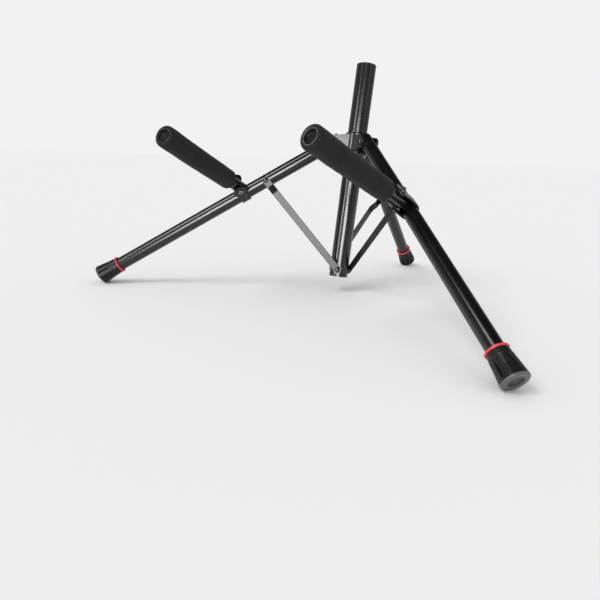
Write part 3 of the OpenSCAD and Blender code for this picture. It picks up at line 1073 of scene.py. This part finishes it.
@dataclass
class ArmCap:
    """The plastic cap in the end of an arm: a rim with painted highlight, a dark groove and a sunk disc."""

    side: Side
    rim: float = 0.0018
    flange: float = 0.002
    disc_drop: float = 0.0025
    bead_drop: float = 0.0021
    groove_drop: float = 0.0036
    step_drop: float = 0.0022
    around: int = 64

    def outline(self, outer: float, plug: float, top: float, low: float) -> Outline:
        """Outline of half the section, from the middle of the face to the middle of the plug.

        Args:
            outer: Radius of the flange.
            plug: Radius of the plug.
            top: Height of the rim.
            low: Height of the plug's end.

        Returns:
            Radius and height pairs.
        """
        wall = outer - self.rim
        disc = ((0.0, self.disc_drop), (wall * 0.6, self.disc_drop))
        bead = (
            (wall * 0.64, self.bead_drop + 0.05 * MM), (wall * 0.7, self.bead_drop),
            (wall * 0.75, self.disc_drop - 0.1 * MM),
        )
        groove = ((wall * 0.77, self.groove_drop), (wall * 0.93, self.groove_drop))
        step = ((wall * 0.94, self.step_drop), (wall, self.step_drop - 0.15 * MM))
        rim = (
            (wall + 0.1 * MM, 0.4 * MM), (wall + 0.4 * MM, 0.05 * MM), (outer - 0.7 * MM, 0.02 * MM),
            (outer - 0.3 * MM, 0.2 * MM), (outer, 0.7 * MM),
        )
        points = [(radius, top - drop) for radius, drop in disc + bead + groove + step + rim]
        return points + [(outer, top - self.flange), (plug, top - self.flange), (plug, low), (0.0, low)]

    def build(self, shop: Workshop) -> None:
        """Makes the cap in place of the plain one.

        Args:
            shop: The workshop.
        """
        tag = self.side.tag
        place = ArmPlace.measure(self.side)
        runs, spread = reaches(corners(f"arm_cap_{tag}"), place.pin, place.along)
        top, low = max(runs), min(runs)
        plug = max(reach for reach, run in zip(spread, runs) if run < low + 0.1 * MM)
        bm = turned(self.outline(max(spread), plug, top, low), self.around)
        # Painted highlight: the rim's faces take the finish's lighter edge colour.
        mark_wear(bm, lambda middle: float(middle.z > top - self.rim))
        bm.transform(place.matrix)
        shop.add(f"ringed_cap_{tag}", bm, f"arm_{tag}", "black_plastic", f"arm_cap_{tag}")


@dataclass(frozen=True)
class FootPlace:
    """Where a foot sits and how big it is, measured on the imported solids, in metres."""

    matrix: Matrix
    length: float
    first: float
    last: float
    bore: float
    depth: float

    @classmethod
    def measure(cls, side: Side) -> FootPlace:
        """Reads the foot's line from the leg's hinge and the band, and its sizes from the foot.

        Args:
            side: Which foot.

        Returns:
            The place: z runs along the leg from the foot's top end, first and last are the outer
            radii at both ends, and bore and depth are those of the hole for the tube.
        """
        pin = Vector(joint(f"leg_{side.tag}_hinge")["pos_m"])
        along = (middle_of(corners(f"foot_band_{side.tag}")) - pin).normalized()
        runs, spread = reaches(corners(f"foot_{side.tag}"), pin, along)
        top = min(runs)
        mouth = [reach for reach, run in zip(spread, runs) if run < top + MM]
        bore = min(mouth)
        depth = max(run for reach, run in zip(spread, runs) if abs(reach - bore) < 0.1 * MM) - top
        turn = along.to_track_quat("Z", "Y").to_matrix().to_4x4()
        place = Matrix.Translation(pin + along * top) @ turn
        return cls(place, max(runs) - top, max(mouth), max(spread), bore, depth)


@dataclass
class RubberFoot:
    """A moulded foot: flutes with crisp sides between flat ribs, a plain lip and a sunk end.

    The grooves' start and stop are shares of the foot's length, and their nose is a share of
    their own. The skin stays shy of the CAD solid, so that it never stands outside its box.
    """

    side: Side
    flutes: int = 10
    groove_share: float = 0.5
    groove_depth: float = 0.0024
    groove_wall: float = 0.1
    start: float = 0.2
    stop: float = 0.87
    nose: float = 0.1
    shallow: float = 0.15
    deepen: float = 1.9
    top_ease: float = 0.0006
    end_round: float = 0.002
    rim: float = 0.0016
    recess_r: float = 0.00875
    recess_depth: float = 0.002
    recess_ease: float = 0.0002
    lip_wear: float = 0.0003
    shy: float = 0.0001
    around: int = 300
    rows: int = 84

    def groove(self, turn: float, share: float) -> float:
        """How deep the side is sunk at a place, from 0 to 1.

        Args:
            turn: Angle round the foot, in turns.
            share: Distance from the top end over the length.

        Returns:
            The share of the full depth.
        """
        across = abs((turn * self.flutes) % 1.0 - 0.5) * 2.0
        run = (share - self.start) / (self.stop - self.start)
        if not 0.0 < run < 1.0:
            return 0.0
        past = max(0.0, (run - 1.0 + self.nose) / self.nose)
        width = self.groove_share * math.sqrt(max(0.0, 1.0 - past ** 2))
        wall = min(1.0, max(0.0, (width - across) / self.groove_wall))
        return wall * min(1.0, self.shallow + run * self.deepen)

    def outline(self, place: FootPlace) -> Outline:
        """Outline of half the foot's section without its grooves.

        Args:
            place: The foot's place and sizes.

        Returns:
            Radius and height pairs, from the bottom of the bore to the middle of the recess.
        """
        first, last = place.first - self.shy, place.last - self.shy
        straight = place.length - self.end_round
        points = [(0.0, place.depth), (place.bore, place.depth), (place.bore, 0.0)]
        points.append((first - self.top_ease, 0.0))
        for i in range(self.rows + 1):
            run = self.top_ease + (straight - self.top_ease) * i / self.rows
            points.append((first + (last - first) * run / straight, run))
        points += [
            (last - self.end_round * (1.0 - cosine), straight + self.end_round * sine)
            for cosine, sine in quarter(6)
        ]
        floor = place.length - self.recess_depth
        return points + [
            (self.recess_r + self.rim, place.length),
            (self.recess_r + self.recess_ease, place.length - self.recess_ease),
            (self.recess_r, floor), (0.0, floor),
        ]

    def _flute(self, bm: bmesh.types.BMesh, place: FootPlace) -> None:
        """Sinks the grooves into the outside.

        Args:
            bm: The plain foot, along z.
            place: The foot's place and sizes.
        """
        for vert in bm.verts:
            reach = math.hypot(vert.co.x, vert.co.y)
            if reach < place.bore + MM:
                continue
            turn = math.atan2(vert.co.y, vert.co.x) / math.tau
            sunk = self.groove_depth * self.groove(turn, vert.co.z / place.length)
            vert.co.xy *= 1.0 - sunk / reach
        bm.normal_update()

    def build(self, shop: Workshop) -> None:
        """Makes the foot in place of the plain one.

        Args:
            shop: The workshop.
        """
        tag = self.side.tag
        place = FootPlace.measure(self.side)
        bm = turned(self.outline(place), self.around)
        self._flute(bm, place)
        # The end is lightened, partly as rubbing and partly as painted highlight; the recess gets less of it,
        # as painted shade.
        lip = place.length - self.end_round - self.lip_wear

        def wear(middle: Vector) -> float:
            """Full lighter colour on the lip, rubbing and painted highlight; half of it in the recess,
            painted shade.
            """
            inside = math.hypot(middle.x, middle.y) < self.recess_r
            return 0.0 if middle.z <= lip else 0.5 if inside else 1.0

        mark_wear(bm, wear)
        bm.transform(place.matrix)
        for vert in bm.verts:
            vert.co.z = max(vert.co.z, 0.0)
        shop.add(f"fluted_foot_{tag}", bm, f"leg_{tag}", "black_rubber", f"foot_{tag}")


# ---- Stage ---------------------------------------------------------------------------------


@dataclass(frozen=True)
class Panel:
    """A soft lamp that draws a streak along the tubes and lights nothing else."""

    name: str
    place: Point
    aim: Point
    size: tuple[float, float]
    power: float

    def build(self) -> None:
        """Hangs the panel in its place, turned to its aim."""
        data = bpy.data.lights.new(self.name, "AREA")
        data.shape = "RECTANGLE"
        data.size, data.size_y = self.size
        data.energy = self.power
        panel = placed(self.name, data)
        panel.location = self.place
        panel.rotation_euler = (Vector(self.aim) - Vector(self.place)).to_track_quat("-Z", "Y").to_euler()
        panel.visible_diffuse = False


PANELS = (
    Panel("panel_front", (1.22, -2.68, 0.62), (-0.1, -0.1, 0.14), (1.5, 1.25), 86.0),
    Panel("panel_post", (-1.12, -2.98, 0.72), (0.0, -0.02, 0.12), (0.45, 1.7), 32.0),
    Panel("panel_right", (3.4, 0.2, 2.0), (0.0, 0.0, 0.15), (0.28, 2.4), 4.0),
)


@dataclass(frozen=True)
class Studio:
    """Floor, world light, lamps and the camera at the photograph's angle, with angles in degrees."""

    floor_tone: float = 0.88
    floor_rough: float = 0.9
    floor_size: float = 60.0
    backdrop: float = 0.88
    horizon: float = 0.4
    ceiling: float = 0.04
    ceiling_from: tuple[float, float] = (0.3, 0.55)
    world_light: float = 0.7
    sun_power: float = 1.13
    sun_spread: float = 28.0
    sun_tilt: tuple[float, float] = (34.0, -22.0)
    focal_px: float = 498.13
    frame_px: float = 600.0
    sensor_mm: float = 36.0
    nearest: float = 0.02
    eye: Point = (0.43131, -0.77924, 0.22486)
    yaw: float = 34.67
    pitch: float = -15.99
    roll: float = 1.82

    def build(self) -> None:
        """Makes the whole stage."""
        self._floor()
        self._world()
        self._sun()
        for panel in PANELS:
            panel.build()
        self._camera()

    def _floor(self) -> None:
        """A plain pale floor that keeps the stand's shadow."""
        bm = bmesh.new()
        bmesh.ops.create_grid(bm, x_segments=4, y_segments=4, size=self.floor_size)
        mesh = bpy.data.meshes.new("floor")
        bm.to_mesh(mesh)
        bm.free()
        material = bpy.data.materials.new("pale_floor")
        material.use_nodes = True
        shader = material.node_tree.nodes["Principled BSDF"]
        shader.inputs["Base Color"].default_value = grey(self.floor_tone)
        shader.inputs["Roughness"].default_value = self.floor_rough
        shader.inputs["Specular IOR Level"].default_value = 0.0
        mesh.materials.append(material)
        floor = placed("floor", mesh)
        floor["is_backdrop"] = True

    def _world(self) -> None:
        """Soft light from all round, the backdrop's tone, and a darker room in reflections."""
        world = bpy.data.worlds.new("studio_world")
        bpy.context.scene.world = world
        world.use_nodes = True
        sheet = NodeSheet(world.node_tree)
        world.node_tree.nodes.clear()
        out = sheet.node("ShaderNodeOutputWorld")
        light = sheet.node("ShaderNodeBackground")
        light.inputs[0].default_value = grey(1.0)
        light.inputs[1].default_value = self.world_light
        shown = sheet.node("ShaderNodeBackground")
        path = sheet.node("ShaderNodeLightPath")
        parts = sheet.node("ShaderNodeSeparateXYZ")
        sheet.join(sheet.node("ShaderNodeTexCoord").outputs["Generated"], parts.inputs[0])
        above = sheet.remap(parts.outputs["Z"], *self.ceiling_from)
        mirrored = sheet.mix_colour(above, grey(self.horizon), grey(self.ceiling))
        tone = sheet.mix_colour(path.outputs["Is Glossy Ray"], grey(self.backdrop), mirrored)
        sheet.join(tone, shown.inputs[0])
        seen = sheet.math("ADD", path.outputs["Is Camera Ray"], path.outputs["Is Glossy Ray"])
        seen = sheet.math("ADD", seen, path.outputs["Is Transmission Ray"], clamp=True)
        mix = sheet.node("ShaderNodeMixShader")
        sheet.join(seen, mix.inputs[0])
        sheet.join(light.outputs[0], mix.inputs[1])
        sheet.join(shown.outputs[0], mix.inputs[2])
        sheet.join(mix.outputs[0], out.inputs[0])

    def _sun(self) -> None:
        """A broad sun for the floor and its soft shadow."""
        sun = bpy.data.lights.new("sun", "SUN")
        sun.energy = self.sun_power
        sun.angle = math.radians(self.sun_spread)
        tilt, lean = (math.radians(angle) for angle in self.sun_tilt)
        placed("sun", sun).rotation_euler = Euler((tilt, lean, 0.0))

    def _camera(self) -> None:
        """The camera found from the photograph's lines."""
        data = bpy.data.cameras.new("camera")
        data.sensor_fit = "HORIZONTAL"
        data.sensor_width = self.sensor_mm
        data.lens = self.focal_px / self.frame_px * data.sensor_width
        data.clip_start = self.nearest
        yaw, pitch, roll = (math.radians(a) for a in (self.yaw, self.pitch, self.roll))
        forward = Vector((-math.sin(yaw) * math.cos(pitch), math.cos(yaw) * math.cos(pitch), math.sin(pitch)))
        level = forward.cross(Vector((0.0, 0.0, 1.0))).normalized()
        above = level.cross(forward)
        right = level * math.cos(roll) + above * math.sin(roll)
        up = above * math.cos(roll) - level * math.sin(roll)
        turn = Matrix((right, up, -forward)).transposed()
        camera = placed("camera", data)
        camera.matrix_world = Matrix.Translation(self.eye) @ turn.to_4x4()
        bpy.context.scene.camera = camera


def write_size() -> None:
    """Gathers the CAD box and the visual model's box as plain lists; nothing is written."""
    boxes = {"cad": CAD_BOX, "visual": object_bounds()}
    plain = {key: [list(corner) for corner in box] for key, box in boxes.items()}


def main() -> None:
    """Builds the stage, the finishes and every new piece."""
    logging.basicConfig(level=logging.INFO, format="%(message)s")
    scene = bpy.context.scene
    scene.view_settings.view_transform = "Standard"
    Studio().build()
    shop = Workshop(Effects())
    shop.finish_cad()
    EasedMetal(shop).build()
    for side in FRONT_SIDES:
        FoamSleeve(side).build(shop)
        ArmPin(side).build(shop)
        ArmCap(side).build(shop)
    for side in ALL_SIDES:
        RubberFoot(side).build(shop)
    write_size()


if __name__ == "__main__":
    main()
